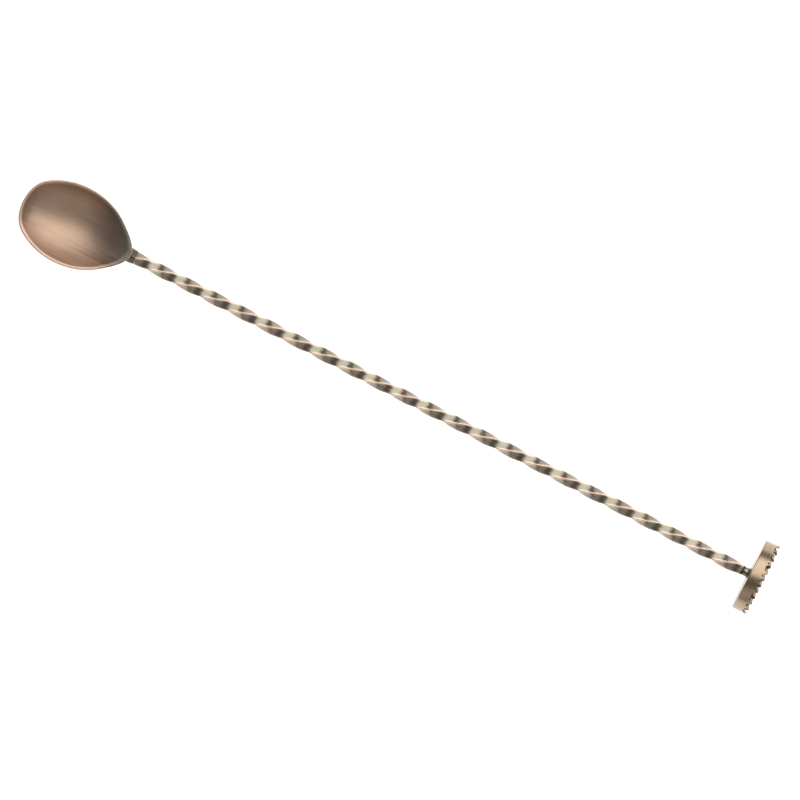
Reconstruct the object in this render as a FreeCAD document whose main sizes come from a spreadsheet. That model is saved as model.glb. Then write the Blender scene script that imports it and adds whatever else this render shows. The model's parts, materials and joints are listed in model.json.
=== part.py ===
"""Bar spoon with a twisted square stem and a toothed masher disc.

Every piece is drawn in one spoon frame, in millimetres: X runs along the stem axis from the tip of the
bowl, and Z points out of the open bowl. The finished spoon is then laid down on a flat surface, z = 0,
where it rests on the belly of the bowl and on the back edge of the disc.
"""
import FreeCAD, Part
import math
import os
import Sketcher
from FreeCAD import Placement, Rotation, Vector

# Driving dimensions: alias, value, meaning. Lengths are in mm and angles in degrees.
DIMENSIONS = [
    ("overall_length", 280.0, "bowl tip to tooth tips"),
    ("bowl_length", 41.0, "tip to neck, along the rim plane"),
    ("bowl_width", 27.9, "across the rim at its widest"),
    ("bowl_depth", 8.5, "rim plane to the outside of the belly"),
    ("bowl_wall", 0.95, "sheet thickness of the pressed bowl"),
    ("deepest_from_tip", 18.4, "tip to the deepest point of the belly"),
    ("tip_radius", 9.85, "radius of the lengthwise section at the tip"),
    ("tip_angle", 68.0, "slope of the lengthwise section at the tip"),
    ("neck_fullness", 1.45, "neck slope over the slope of a straight line from belly to neck"),
    ("trim_allowance", 2.0, "pressed wall left above the rim plane before trimming"),
    ("stem_below_rim", 1.9, "rim plane down to the stem axis"),
    ("bar_across_flats", 3.44, "square bar"),
    ("bar_edge_radius", 0.33, "rounded edges of the bar"),
    ("lap_turn", 45.0, "turn of the bar under the bowl: at 45 one of its edges is on top"),
    ("twist_turns", 5.625, "full turns, to the left"),
    ("plain_at_bowl", 0.28, "straight bar between the braze and the twist"),
    ("plain_at_disc", 1.32, "straight bar after the twist"),
    ("shank_diameter", 3.2, "turned end of the bar"),
    ("shank_shown", 2.2, "shank between the bar and the disc"),
    ("shank_seated", 2.5, "shank inside the disc"),
    ("seat_clearance", 0.04, "radial clearance of the shank in the disc"),
    ("seat_end_gap", 0.2, "room beyond the end of the shank"),
    ("disc_diameter", 25.5, "masher disc"),
    ("disc_thickness", 5.4, "back face to tooth tips"),
    ("disc_back_radius", 0.4, "rounded back edge of the rim"),
    ("disc_front_bevel", 0.2, "bevel at the outer edge of the teeth"),
    ("tooth_depth", 1.7, "depth of the grooves between teeth"),
    ("tooth_pitch", 2.3, "groove to groove"),
    ("groove_mouth", 1.75, "groove width at the tooth tips"),
    ("groove_floor", 0.3, "groove width at the bottom"),
    ("tooth_grid_turn", 4.5, "turn of the tooth grid about the stem"),
    ("braze_gap", 0.05, "joint gap between the bar and the bowl"),
    ("bowl_braze_leg", 0.25, "thickness of the braze collar around the bar"),
    ("bowl_braze_reach", 0.35, "length of the braze collar where it is shortest, at its top"),
    ("disc_braze_leg", 0.6, "leg of the braze ring at the disc"),
]

# Formulas that more than one piece uses, written for the spreadsheet's aliases.
DISC_BACK = "(Sizes.overall_length - Sizes.disc_thickness)"
BAR_END = f"({DISC_BACK} - Sizes.shank_shown)"
NECK_RUN = "(Sizes.bowl_length - Sizes.deepest_from_tip)"
NECK_ANGLE = f"(Sizes.neck_fullness * atan(Sizes.bowl_depth / {NECK_RUN}))"
# The braze collar ends a little past the place where its highest edge leaves the slope of the neck.
COLLAR_HALF = "(Sizes.bar_across_flats / 2 + Sizes.bowl_braze_leg)"
COLLAR_EDGE_RADIUS = "(Sizes.bar_edge_radius + Sizes.bowl_braze_leg)"
COLLAR_TOP = f"({COLLAR_HALF} * sqrt(2) - {COLLAR_EDGE_RADIUS} * (sqrt(2) - 1))"
COLLAR_LEAVES = f"(({COLLAR_TOP} - Sizes.stem_below_rim) / tan({NECK_ANGLE}))"
COLLAR_END = f"(Sizes.bowl_length + {COLLAR_LEAVES} + Sizes.bowl_braze_reach)"
TWIST_START = f"({COLLAR_END} + Sizes.plain_at_bowl)"
TWIST_LENGTH = f"({BAR_END} - Sizes.plain_at_disc - {TWIST_START})"
# The bar's section has turned this far where the twist ends.
END_TURN = "(Sizes.lap_turn - 360 * Sizes.twist_turns)"
# Height above the rim plane of the axis that the bowl is turned about: the circle of the deepest
# section passes through both rim edges at the widest place.
TURNING_HEIGHT = "(((Sizes.bowl_width / 2)^2 - Sizes.bowl_depth^2) / (2 * Sizes.bowl_depth))"
# Number of grooves on each side of the middle one.
SIDE_GROOVES = "floor(Sizes.disc_diameter / 2 / Sizes.tooth_pitch)"
# The bar is drawn from inside the bowl and trimmed back to the bowl's outside.
BAR_START = "((Sizes.bowl_length + Sizes.deepest_from_tip) / 2)"

START, END, CENTRE = 1, 2, 3    # points of a sketch line or arc
ORIGIN = (-1, 1)                # the sketch origin, as (geometry, point)
UPRIGHT_AXIS = -2               # the sketch's vertical axis


def make_sheet(document):
    """Write the driving dimensions to a spreadsheet and return them by alias."""
    sheet = document.addObject("Spreadsheet::Sheet", "Sizes")
    for row, (alias, value, meaning) in enumerate(DIMENSIONS, start=1):
        sheet.set(f"A{row}", alias)
        sheet.set(f"B{row}", str(value))
        sheet.set(f"C{row}", meaning)
        sheet.setAlias(f"B{row}", alias)
    document.recompute()
    return {alias: float(sheet.get(alias)) for alias, value, meaning in DIMENSIONS}


def new_body(document, name):
    """Add an empty body, whose label is the piece's name."""
    body = document.addObject("PartDesign::Body", name)
    body.Label = name
    return body


def new_sketch(body, name, role, offset=None, turn=None):
    """Add a sketch on one of the body's own origin planes, raised and turned by formulas."""
    sketch = body.newObject("Sketcher::SketchObject", name)
    plane = next(item for item in body.Origin.OriginFeatures if item.Role == role)
    sketch.AttachmentSupport = [(plane, "")]
    sketch.MapMode = "FlatFace"
    if offset:
        sketch.setExpression("AttachmentOffset.Base.z", offset)
    if turn:
        sketch.AttachmentOffset = Placement(Vector(0, 0, 0), Rotation(Vector(0, 0, 1), 1))
        sketch.setExpression("AttachmentOffset.Rotation.Angle", f"mod({turn}; 90) * 1 deg")
    return sketch


def drive(sketch, name, formula, *constraint):
    """Add a named constraint whose value follows a formula."""
    index = sketch.addConstraint(Sketcher.Constraint(*constraint))
    sketch.renameConstraint(index, name)
    sketch.setExpression(f"Constraints.{name}", formula)


def join_loop(sketch, count):
    """Join the first count lines of a sketch end to start in a closed loop."""
    for line in range(count):
        following = (line + 1) % count
        sketch.addConstraint(Sketcher.Constraint("Coincident", line, END, following, START))


def line(start, end):
    """A sketch line between two points given as (x, y)."""
    return Part.LineSegment(Vector(*start, 0), Vector(*end, 0))


def arc(centre, radius, first, last):
    """A sketch arc, anticlockwise between two angles in radians."""
    circle = Part.Circle(Vector(*centre, 0), Vector(0, 0, 1), radius)
    return Part.ArcOfCircle(circle, first, last)


def rounded_square(sketch, half, radius, half_formula, radius_formula):
    """Draw a square with rounded corners, centred on the stem axis."""
    flat = half - radius
    quarter = math.pi / 2
    corners = [(flat, flat), (-flat, flat), (-flat, -flat), (flat, -flat)]
    sides = [
        ((flat, half), (-flat, half)),
        ((-half, flat), (-half, -flat)),
        ((-flat, -half), (flat, -half)),
        ((half, -flat), (half, flat)),
    ]
    for number, side in enumerate(sides):
        sketch.addGeometry(line(*side))
        turn = ((number + 1) % 4) * quarter
        sketch.addGeometry(arc(corners[(number + 1) % 4], radius, turn, turn + quarter))
    for side in (0, 2, 4, 6):
        following = (side + 2) % 8
        sketch.addConstraint(Sketcher.Constraint("Tangent", side, END, side + 1, START))
        sketch.addConstraint(Sketcher.Constraint("Tangent", side + 1, END, following, START))
        sketch.addConstraint(Sketcher.Constraint("Horizontal" if side in (0, 4) else "Vertical", side))
    for corner in (3, 5, 7):
        sketch.addConstraint(Sketcher.Constraint("Equal", 1, corner))
    drive(sketch, "top", half_formula, "DistanceY", *ORIGIN, 0, START, half)
    drive(sketch, "bottom", half_formula, "DistanceY", 4, START, *ORIGIN, half)
    drive(sketch, "left", half_formula, "DistanceX", 2, START, *ORIGIN, half)
    drive(sketch, "right", half_formula, "DistanceX", *ORIGIN, 6, START, half)
    drive(sketch, "edge", radius_formula, "Radius", 1, radius)


def belly_radii(size):
    """Radii of the front and rear belly arcs, the join angle of the tip arc and the neck angle.

    The front arc and the tip arc meet smoothly between the level belly and the sloping tip. The rear
    arc is tangent to the straight neck, which passes through the rim plane at the bowl's full length.
    """
    tip = math.radians(size["tip_angle"])
    radius = size["tip_radius"]
    drop = size["bowl_depth"] - radius * (1 - math.cos(tip))
    run = size["deepest_from_tip"] - radius * math.sin(tip)
    join = 2 * math.atan2(drop, run)
    front = radius + run / math.sin(join)
    neck_run = size["bowl_length"] - size["deepest_from_tip"]
    neck = size["neck_fullness"] * math.atan2(size["bowl_depth"], neck_run)
    rear = (neck_run * math.sin(neck) - size["bowl_depth"] * math.cos(neck)) / (1 - math.cos(neck))
    return front, rear, join, neck


def along(point, angle, distance):
    """The point a distance away in the direction of an angle."""
    return (point[0] + distance * math.cos(angle), point[1] + distance * math.sin(angle))


def turning_axis(sketch, size, geometry):
    """Draw the construction line that the bowl is turned about."""
    height = ((size["bowl_width"] / 2) ** 2 - size["bowl_depth"] ** 2) / (2 * size["bowl_depth"])
    level = size["stem_below_rim"] + height
    sketch.addGeometry(line((0, level), (size["bowl_length"], level)), True)
    sketch.addConstraint(Sketcher.Constraint("Horizontal", geometry))
    sketch.addConstraint(Sketcher.Constraint("PointOnObject", geometry, START, UPRIGHT_AXIS))
    length = size["bowl_length"]
    drive(sketch, "axis_length", "Sizes.bowl_length", "DistanceX", geometry, START, geometry, END, length)
    formula = f"Sizes.stem_below_rim + {TURNING_HEIGHT}"
    drive(sketch, "axis_level", formula, "DistanceY", *ORIGIN, geometry, START, level)


def wall_section(sketch, size):
    """Draw the lengthwise section of the pressed bowl: outer curve, inner curve and two end cuts."""
    front, rear, join, neck = belly_radii(size)
    tip = math.radians(size["tip_angle"])
    rim = size["stem_below_rim"]
    deepest = (size["deepest_from_tip"], rim - size["bowl_depth"])
    down = -math.pi / 2
    front_centre = along(deepest, -down, front)
    rear_centre = along(deepest, -down, rear)
    tip_centre = along(front_centre, down - join, front - size["tip_radius"])
    allowance = size["trim_allowance"]
    neck_point = (size["bowl_length"], rim)
    for offset in (0.0, size["bowl_wall"]):
        tip_start = along(tip_centre, down - tip, size["tip_radius"] - offset)
        neck_start = along(rear_centre, down + neck, rear - offset)
        neck_end = along(along(neck_point, neck, allowance), neck - down, offset)
        sketch.addGeometry(line(tip_start, along(tip_start, math.pi - tip, allowance)))
        sketch.addGeometry(arc(tip_centre, size["tip_radius"] - offset, down - tip, down - join))
        sketch.addGeometry(arc(front_centre, front - offset, down - join, down))
        sketch.addGeometry(arc(rear_centre, rear - offset, down, down + neck))
        sketch.addGeometry(line(neck_start, neck_end))
    for first in (0, 5):
        sketch.addConstraint(Sketcher.Constraint("Tangent", first, START, first + 1, START))
        sketch.addConstraint(Sketcher.Constraint("Tangent", first + 1, END, first + 2, START))
        sketch.addConstraint(Sketcher.Constraint("Tangent", first + 2, END, first + 3, START))
        sketch.addConstraint(Sketcher.Constraint("Tangent", first + 3, END, first + 4, START))
    for outer in (1, 2, 3):
        sketch.addConstraint(Sketcher.Constraint("Coincident", outer, CENTRE, outer + 5, CENTRE))
    for outer, cut in ((0, 10), (4, 11)):
        inner = outer + 5
        cut_start = sketch.getPoint(outer, END)
        cut_end = sketch.getPoint(inner, END)
        sketch.addGeometry(Part.LineSegment(cut_start, cut_end))
        sketch.addConstraint(Sketcher.Constraint("Coincident", outer, END, cut, START))
        sketch.addConstraint(Sketcher.Constraint("Coincident", inner, END, cut, END))
        sketch.addConstraint(Sketcher.Constraint("Parallel", outer, inner))
        sketch.addConstraint(Sketcher.Constraint("Perpendicular", outer, cut))
    turning_axis(sketch, size, 12)
    sketch.addGeometry(Part.Point(Vector(*neck_point, 0)), True)
    sketch.addConstraint(Sketcher.Constraint("PointOnObject", 13, START, 4))
    sketch.addConstraint(Sketcher.Constraint("PointOnObject", 0, START, UPRIGHT_AXIS))
    sketch.addConstraint(Sketcher.Constraint("Vertical", 2, CENTRE, 2, END))
    rim_formula = "Sizes.stem_below_rim"
    drive(sketch, "tip_level", rim_formula, "DistanceY", *ORIGIN, 0, START, rim)
    drive(sketch, "neck_level", rim_formula, "DistanceY", *ORIGIN, 13, START, rim)
    drive(sketch, "neck_place", "Sizes.bowl_length", "DistanceX", *ORIGIN, 13, START, neck_point[0])
    drive(sketch, "depth", "Sizes.bowl_depth", "DistanceY", 2, END, 0, START, size["bowl_depth"])
    drive(sketch, "deepest", "Sizes.deepest_from_tip", "DistanceX", *ORIGIN, 2, END, deepest[0])
    drive(sketch, "wall", "Sizes.bowl_wall", "DistanceY", 2, END, 7, END, size["bowl_wall"])
    drive(sketch, "tip_arc", "Sizes.tip_radius", "Radius", 1, size["tip_radius"])
    drive(sketch, "tip_slope", "(180 - Sizes.tip_angle) * 1 deg", "Angle", 0, math.pi - tip)
    drive(sketch, "neck_slope", NECK_ANGLE, "Angle", 4, neck)
    drive(sketch, "tip_allowance", "Sizes.trim_allowance", "Distance", 0, allowance)
    drive(sketch, "neck_allowance", "Sizes.trim_allowance", "Distance", 13, START, 4, END, allowance)


def make_bowl(document, size):
    """The pressed bowl: its wall turned about a line above it, then trimmed flat at the rim."""
    body = new_body(document, "bowl")
    section = new_sketch(body, "BowlWallSection", "XZ_Plane")
    wall_section(section, size)
    turned = body.newObject("PartDesign::Revolution", "TurnedBowl")
    turned.Profile = section
    turned.ReferenceAxis = (section, ["Axis0"])
    turned.Angle = 360
    document.recompute()
    rim = new_sketch(body, "RimTrim", "XY_Plane", "Sizes.stem_below_rim")
    reach = size["overall_length"]
    corners = [(-reach, -reach), (reach, -reach), (reach, reach), (-reach, reach)]
    for number in range(4):
        rim.addGeometry(line(corners[number], corners[(number + 1) % 4]))
    join_loop(rim, 4)
    for side, direction in enumerate(("Horizontal", "Vertical", "Horizontal", "Vertical")):
        rim.addConstraint(Sketcher.Constraint(direction, side))
    rim.addConstraint(Sketcher.Constraint("Symmetric", 0, START, 1, END, *ORIGIN))
    drive(rim, "width", "2 * Sizes.overall_length", "DistanceX", 0, START, 0, END, 2 * reach)
    drive(rim, "height", "2 * Sizes.overall_length", "DistanceY", 1, START, 1, END, 2 * reach)
    trim = body.newObject("PartDesign::Pocket", "TrimmedRim")
    trim.Profile = rim
    trim.Type = "ThroughAll"
    trim.Reversed = True
    document.recompute()
    return body


def bowl_outside(sketch, size, gap, gap_formula):
    """Draw the rear half of the bowl's outside, grown by a gap and closed along the turning axis."""
    front, rear, join, neck = belly_radii(size)
    rim = size["stem_below_rim"]
    height = ((size["bowl_width"] / 2) ** 2 - size["bowl_depth"] ** 2) / (2 * size["bowl_depth"])
    level = rim + height
    deepest = (size["deepest_from_tip"], rim - size["bowl_depth"] - gap)
    down = -math.pi / 2
    rear_centre = along(deepest, -down, rear + gap)
    neck_start = along(rear_centre, down + neck, rear + gap)
    crossing = (size["bowl_length"] + gap / math.sin(neck), rim)
    neck_end = along(crossing, neck, size["trim_allowance"])
    sketch.addGeometry(arc(rear_centre, rear + gap, down, down + neck))
    sketch.addGeometry(line(neck_start, neck_end))
    sketch.addGeometry(line(neck_end, (neck_end[0], level)))
    sketch.addGeometry(line((neck_end[0], level), (deepest[0], level)))
    sketch.addGeometry(line((deepest[0], level), deepest))
    sketch.addGeometry(Part.Point(Vector(*crossing, 0)), True)
    sketch.addConstraint(Sketcher.Constraint("Tangent", 0, END, 1, START))
    for side in (1, 2, 3, 4):
        following = (side + 1) % 5
        sketch.addConstraint(Sketcher.Constraint("Coincident", side, END, following, START))
    sketch.addConstraint(Sketcher.Constraint("Vertical", 2))
    sketch.addConstraint(Sketcher.Constraint("Horizontal", 3))
    sketch.addConstraint(Sketcher.Constraint("Vertical", 4))
    sketch.addConstraint(Sketcher.Constraint("Vertical", 0, CENTRE, 0, START))
    sketch.addConstraint(Sketcher.Constraint("PointOnObject", 5, START, 1))
    crossing_formula = f"Sizes.bowl_length + {gap_formula} / sin({NECK_ANGLE})"
    drive(sketch, "neck_place", crossing_formula, "DistanceX", *ORIGIN, 5, START, crossing[0])
    drive(sketch, "neck_level", "Sizes.stem_below_rim", "DistanceY", *ORIGIN, 5, START, rim)
    drive(sketch, "neck_slope", NECK_ANGLE, "Angle", 1, neck)
    allowance = size["trim_allowance"]
    drive(sketch, "allowance", "Sizes.trim_allowance", "Distance", 5, START, 1, END, allowance)
    drive(sketch, "deepest", "Sizes.deepest_from_tip", "DistanceX", *ORIGIN, 0, START, deepest[0])
    below_formula = f"Sizes.bowl_depth + {gap_formula} - Sizes.stem_below_rim"
    drive(sketch, "below", below_formula, "DistanceY", 0, START, *ORIGIN, -deepest[1])
    level_formula = f"Sizes.stem_below_rim + {TURNING_HEIGHT}"
    drive(sketch, "axis_level", level_formula, "DistanceY", *ORIGIN, 3, START, level)


def trim_to_bowl(document, body, size, gap, gap_formula):
    """Cut the bowl's outside, grown by a gap, away from the end of a piece."""
    outline = new_sketch(body, f"BowlOutside_{body.Label}", "XZ_Plane")
    bowl_outside(outline, size, gap, gap_formula)
    cut = body.newObject("PartDesign::Groove", f"TrimToBowl_{body.Label}")
    cut.Profile = outline
    cut.ReferenceAxis = (outline, ["Edge4"])
    cut.Angle = 360
    document.recompute()


def bar_section(body, name, size, offset, turn):
    """Draw the section of the square bar at a place along the stem, turned by a formula."""
    sketch = new_sketch(body, name, "YZ_Plane", offset, turn)
    half = size["bar_across_flats"] / 2
    rounded_square(sketch, half, size["bar_edge_radius"],
                   "Sizes.bar_across_flats / 2", "Sizes.bar_edge_radius")
    return sketch


def pad(body, name, sketch, length, backwards=False):
    """Pad a sketch along the stem, by a formula."""
    feature = body.newObject("PartDesign::Pad", name)
    feature.Profile = sketch
    feature.Reversed = backwards
    feature.setExpression("Length", length)
    return feature


def circle_sketch(body, name, offset, radius, radius_formula):
    """Draw a circle about the stem axis at a place along it."""
    sketch = new_sketch(body, name, "YZ_Plane", offset)
    sketch.addGeometry(Part.Circle(Vector(0, 0, 0), Vector(0, 0, 1), radius))
    sketch.addConstraint(Sketcher.Constraint("Coincident", 0, CENTRE, *ORIGIN))
    drive(sketch, "size", radius_formula, "Radius", 0, radius)
    return sketch


def twist_start(size):
    """Where the twist starts along the stem."""
    front, rear, join, neck = belly_radii(size)
    half = size["bar_across_flats"] / 2 + size["bowl_braze_leg"]
    radius = size["bar_edge_radius"] + size["bowl_braze_leg"]
    top = half * math.sqrt(2) - radius * (math.sqrt(2) - 1)
    leaves = (top - size["stem_below_rim"]) / math.tan(neck)
    return size["bowl_length"] + leaves + size["bowl_braze_reach"] + size["plain_at_bowl"]


def make_twisted_stem(document, size):
    """The square bar: twisted left-handed between two plain ends, with a turned shank at the disc."""
    body = new_body(document, "twisted_stem")
    section = bar_section(body, "TwistSection", size, TWIST_START, "Sizes.lap_turn")
    path = new_sketch(body, "TwistPath", "XZ_Plane")
    start = twist_start(size)
    bar_end = size["overall_length"] - size["disc_thickness"] - size["shank_shown"]
    end = bar_end - size["plain_at_disc"]
    path.addGeometry(line((start, 0), (end, 0)))
    path.addConstraint(Sketcher.Constraint("Horizontal", 0))
    path.addConstraint(Sketcher.Constraint("PointOnObject", 0, START, -1))
    drive(path, "twist_start", TWIST_START, "DistanceX", *ORIGIN, 0, START, start)
    drive(path, "twist_length", TWIST_LENGTH, "DistanceX", 0, START, 0, END, end - start)
    guide = document.addObject("Part::Helix", "TwistGuide")
    guide.LocalCoord = "Left-handed"
    guide.Placement = Placement(Vector(0, 0, 0), Rotation(Vector(0, 1, 0), 90))
    guide.setExpression("Placement.Base.x", TWIST_START)
    guide.setExpression("Radius", "2 * Sizes.bar_across_flats")
    guide.setExpression("Height", TWIST_LENGTH)
    guide.setExpression("Pitch", f"{TWIST_LENGTH} / Sizes.twist_turns")
    document.recompute()
    twist = body.newObject("PartDesign::AdditivePipe", "TwistedBar")
    twist.Profile = section
    twist.Spine = (path, ["Edge1"])
    twist.Mode = "Auxiliary"
    twist.AuxiliarySpine = (guide, ["Edge1"])
    twist.AuxiliaryCurvilinear = True
    document.recompute()
    bowl_end = bar_section(body, "BowlEndSection", size, TWIST_START, "Sizes.lap_turn")
    pad(body, "PlainBowlEnd", bowl_end, f"{TWIST_START} - {BAR_START}", backwards=True)
    document.recompute()
    disc_end = bar_section(body, "DiscEndSection", size, f"{BAR_END} - Sizes.plain_at_disc", END_TURN)
    pad(body, "PlainDiscEnd", disc_end, "Sizes.plain_at_disc")
    document.recompute()
    radius = size["shank_diameter"] / 2
    shank = circle_sketch(body, "ShankCircle", BAR_END, radius, "Sizes.shank_diameter / 2")
    pad(body, "Shank", shank, "Sizes.shank_shown + Sizes.shank_seated")
    document.recompute()
    trim_to_bowl(document, body, size, size["braze_gap"], "Sizes.braze_gap")
    return body


def groove_sketch(body, name, role, size):
    """Draw the section of one groove between teeth, at the furthest groove from the middle."""
    sketch = new_sketch(body, name, role)
    front = size["overall_length"]
    floor = front - size["tooth_depth"]
    side_grooves = math.floor(size["disc_diameter"] / 2 / size["tooth_pitch"])
    middle = side_grooves * size["tooth_pitch"]
    mouth = size["groove_mouth"] / 2
    narrow = size["groove_floor"] / 2
    corners = [
        (front, middle + mouth),
        (floor, middle + narrow),
        (floor, middle - narrow),
        (front, middle - mouth),
    ]
    for number in range(4):
        sketch.addGeometry(line(corners[number], corners[(number + 1) % 4]))
    join_loop(sketch, 4)
    sketch.addConstraint(Sketcher.Constraint("Vertical", 1))
    sketch.addConstraint(Sketcher.Constraint("Vertical", 3))
    sketch.addConstraint(Sketcher.Constraint("Equal", 0, 2))
    drive(sketch, "front", "Sizes.overall_length", "DistanceX", *ORIGIN, 0, START, front)
    drive(sketch, "depth", "Sizes.tooth_depth", "DistanceX", 0, END, 0, START, size["tooth_depth"])
    drive(sketch, "mouth", "Sizes.groove_mouth", "DistanceY", 3, START, 3, END, size["groove_mouth"])
    drive(sketch, "floor", "Sizes.groove_floor", "DistanceY", 1, END, 1, START, size["groove_floor"])
    place = f"{SIDE_GROOVES} * Sizes.tooth_pitch + Sizes.groove_mouth / 2"
    drive(sketch, "place", place, "DistanceY", *ORIGIN, 0, START, middle + mouth)
    return sketch


def circle_at(shape, x):
    """Names of the circular edges of a shape that lie in the plane at x."""
    names = []
    for number, edge in enumerate(shape.Edges, start=1):
        if isinstance(edge.Curve, Part.Circle) and abs(edge.CenterOfMass.x - x) < 1e-6:
            names.append(f"Edge{number}")
    return names


def make_masher_disc(document, size):
    """The masher disc: a blank with a rounded back edge, a seat for the shank and a grid of teeth."""
    body = new_body(document, "masher_disc")
    back = size["overall_length"] - size["disc_thickness"]
    rim = circle_sketch(body, "DiscCircle", DISC_BACK, size["disc_diameter"] / 2, "Sizes.disc_diameter / 2")
    blank = pad(body, "DiscBlank", rim, "Sizes.disc_thickness")
    document.recompute()
    rounded = body.newObject("PartDesign::Fillet", "RoundedBackEdge")
    rounded.Base = (blank, circle_at(blank.Shape, back))
    rounded.setExpression("Radius", "Sizes.disc_back_radius")
    document.recompute()
    bevel = body.newObject("PartDesign::Chamfer", "FrontBevel")
    bevel.Base = (rounded, circle_at(rounded.Shape, size["overall_length"]))
    bevel.setExpression("Size", "Sizes.disc_front_bevel")
    document.recompute()
    radius = size["shank_diameter"] / 2 + size["seat_clearance"]
    radius_formula = "Sizes.shank_diameter / 2 + Sizes.seat_clearance"
    seat = circle_sketch(body, "SeatCircle", DISC_BACK, radius, radius_formula)
    hole = body.newObject("PartDesign::Pocket", "ShankSeat")
    hole.Profile = seat
    hole.Reversed = True
    hole.setExpression("Length", "Sizes.shank_seated + Sizes.seat_end_gap")
    document.recompute()
    for name, role in (("Across", "XZ_Plane"), ("Upright", "XY_Plane")):
        sketch = groove_sketch(body, f"{name}Groove", role, size)
        groove = body.newObject("PartDesign::Pocket", f"{name}FirstGroove")
        groove.Profile = sketch
        groove.Type = "ThroughAll"
        groove.Midplane = True
        document.recompute()
        grooves = body.newObject("PartDesign::LinearPattern", f"{name}Grooves")
        grooves.Originals = [groove]
        grooves.Direction = (sketch, ["V_Axis"])
        grooves.Reversed = True
        grooves.setExpression("Length", f"2 * {SIDE_GROOVES} * Sizes.tooth_pitch")
        grooves.setExpression("Occurrences", f"2 * {SIDE_GROOVES} + 1")
        body.Tip = grooves
        document.recompute()
    return body


def make_bowl_braze(document, size):
    """The braze collar that holds the bar in the corner below the neck of the bowl."""
    body = new_body(document, "bowl_braze")
    outline = new_sketch(body, "BrazeOutline", "YZ_Plane", COLLAR_END, "Sizes.lap_turn")
    half = size["bar_across_flats"] / 2 + size["bowl_braze_leg"]
    radius = size["bar_edge_radius"] + size["bowl_braze_leg"]
    rounded_square(outline, half, radius, COLLAR_HALF, COLLAR_EDGE_RADIUS)
    length = f"{COLLAR_END} - {BAR_START}"
    pad(body, "BrazeCollar", outline, length, backwards=True)
    document.recompute()
    section = bar_section(body, "BarPassage", size, COLLAR_END, "Sizes.lap_turn")
    passage = body.newObject("PartDesign::Pocket", "RoomForBar")
    passage.Profile = section
    passage.Type = "ThroughAll"
    document.recompute()
    trim_to_bowl(document, body, size, 0.0, "0")
    return body


def make_disc_braze(document, size):
    """The braze ring in the corner between the shank and the back of the disc."""
    body = new_body(document, "disc_braze")
    sketch = new_sketch(body, "RingSection", "XZ_Plane")
    back = size["overall_length"] - size["disc_thickness"]
    radius = size["shank_diameter"] / 2
    leg = size["disc_braze_leg"]
    corners = [(back - leg, radius), (back, radius), (back, radius + leg)]
    for number in range(3):
        sketch.addGeometry(line(corners[number], corners[(number + 1) % 3]))
    join_loop(sketch, 3)
    sketch.addConstraint(Sketcher.Constraint("Horizontal", 0))
    sketch.addConstraint(Sketcher.Constraint("Vertical", 1))
    sketch.addConstraint(Sketcher.Constraint("Equal", 0, 1))
    drive(sketch, "back", DISC_BACK, "DistanceX", *ORIGIN, 1, START, back)
    drive(sketch, "shank", "Sizes.shank_diameter / 2", "DistanceY", *ORIGIN, 1, START, radius)
    drive(sketch, "leg", "Sizes.disc_braze_leg", "DistanceX", 0, START, 0, END, leg)
    ring = body.newObject("PartDesign::Revolution", "BrazeRing")
    ring.Profile = sketch
    ring.ReferenceAxis = (sketch, ["H_Axis"])
    ring.Angle = 360
    document.recompute()
    return body


def resting_tilt(size):
    """Angle in degrees that the stem rises at when belly and disc edge both touch the surface.

    Both touch along arcs: the front belly arc, and the rounded back edge of the disc.
    """
    front, rear, join, neck = belly_radii(size)
    edge = size["disc_back_radius"]
    belly_height = size["stem_below_rim"] - size["bowl_depth"] + front
    edge_height = edge - size["disc_diameter"] / 2
    edge_place = size["overall_length"] - size["disc_thickness"] + edge
    rise = belly_height - edge_height
    run = size["deepest_from_tip"] - edge_place
    return math.degrees(math.atan2(run, rise) + math.acos((front - edge) / math.hypot(rise, run)))


def lay_down(bodies, size):
    """Place every piece so that the spoon lies at rest, centred over the origin."""
    tilt = Rotation(Vector(0, 1, 0), -resting_tilt(size))
    grid_turn = Rotation(Vector(1, 0, 0), size["tooth_grid_turn"])
    for body in bodies:
        turn = tilt.multiply(grid_turn) if body.Label == "masher_disc" else tilt
        body.Placement = Placement(Vector(0, 0, 0), turn)
    ends = [body.Shape.optimalBoundingBox(False) for body in bodies if body.Label in ("bowl", "masher_disc")]
    low = min(box.XMin for box in ends)
    high = max(box.XMax for box in ends)
    floor = min(box.ZMin for box in ends)
    for body in bodies:
        body.Placement = Placement(Vector(-(low + high) / 2, 0, -floor), body.Placement.Rotation)


def check(document, bodies):
    """Stop if any feature failed or any piece isn't one valid solid."""
    for item in document.Objects:
        if "Invalid" in item.State or "Error" in item.State:
            raise RuntimeError(f"{item.Label} failed: {item.State}")
        if item.isDerivedFrom("Sketcher::SketchObject") and not item.FullyConstrained:
            raise RuntimeError(f"{item.Label} is not fully constrained")
    for body in bodies:
        if body.Shape.isNull() or not body.Shape.isValid() or len(body.Shape.Solids) != 1:
            raise RuntimeError(f"{body.Label} is not one valid solid")


def main():
    """Build the spoon, check it and write one STEP file for each piece."""
    document = FreeCAD.newDocument("bar_spoon")
    size = make_sheet(document)
    bodies = [
        make_bowl(document, size),
        make_twisted_stem(document, size),
        make_masher_disc(document, size),
        make_bowl_braze(document, size),
        make_disc_braze(document, size),
    ]
    document.recompute()
    lay_down(bodies, size)
    document.recompute()
    check(document, bodies)
    os.makedirs("parts", exist_ok=True)
    for body in bodies:
        body.Shape.exportStep(f"parts/{body.Label}.step")
        box = body.Shape.optimalBoundingBox(False)
        extent = f"{box.XLength:.2f} x {box.YLength:.2f} x {box.ZLength:.2f} mm"
        print(f"{body.Label}: {extent}, {body.Shape.Volume:.1f} mm3")
    print(f"resting tilt {resting_tilt(size):.3f} degrees")


main()
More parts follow.
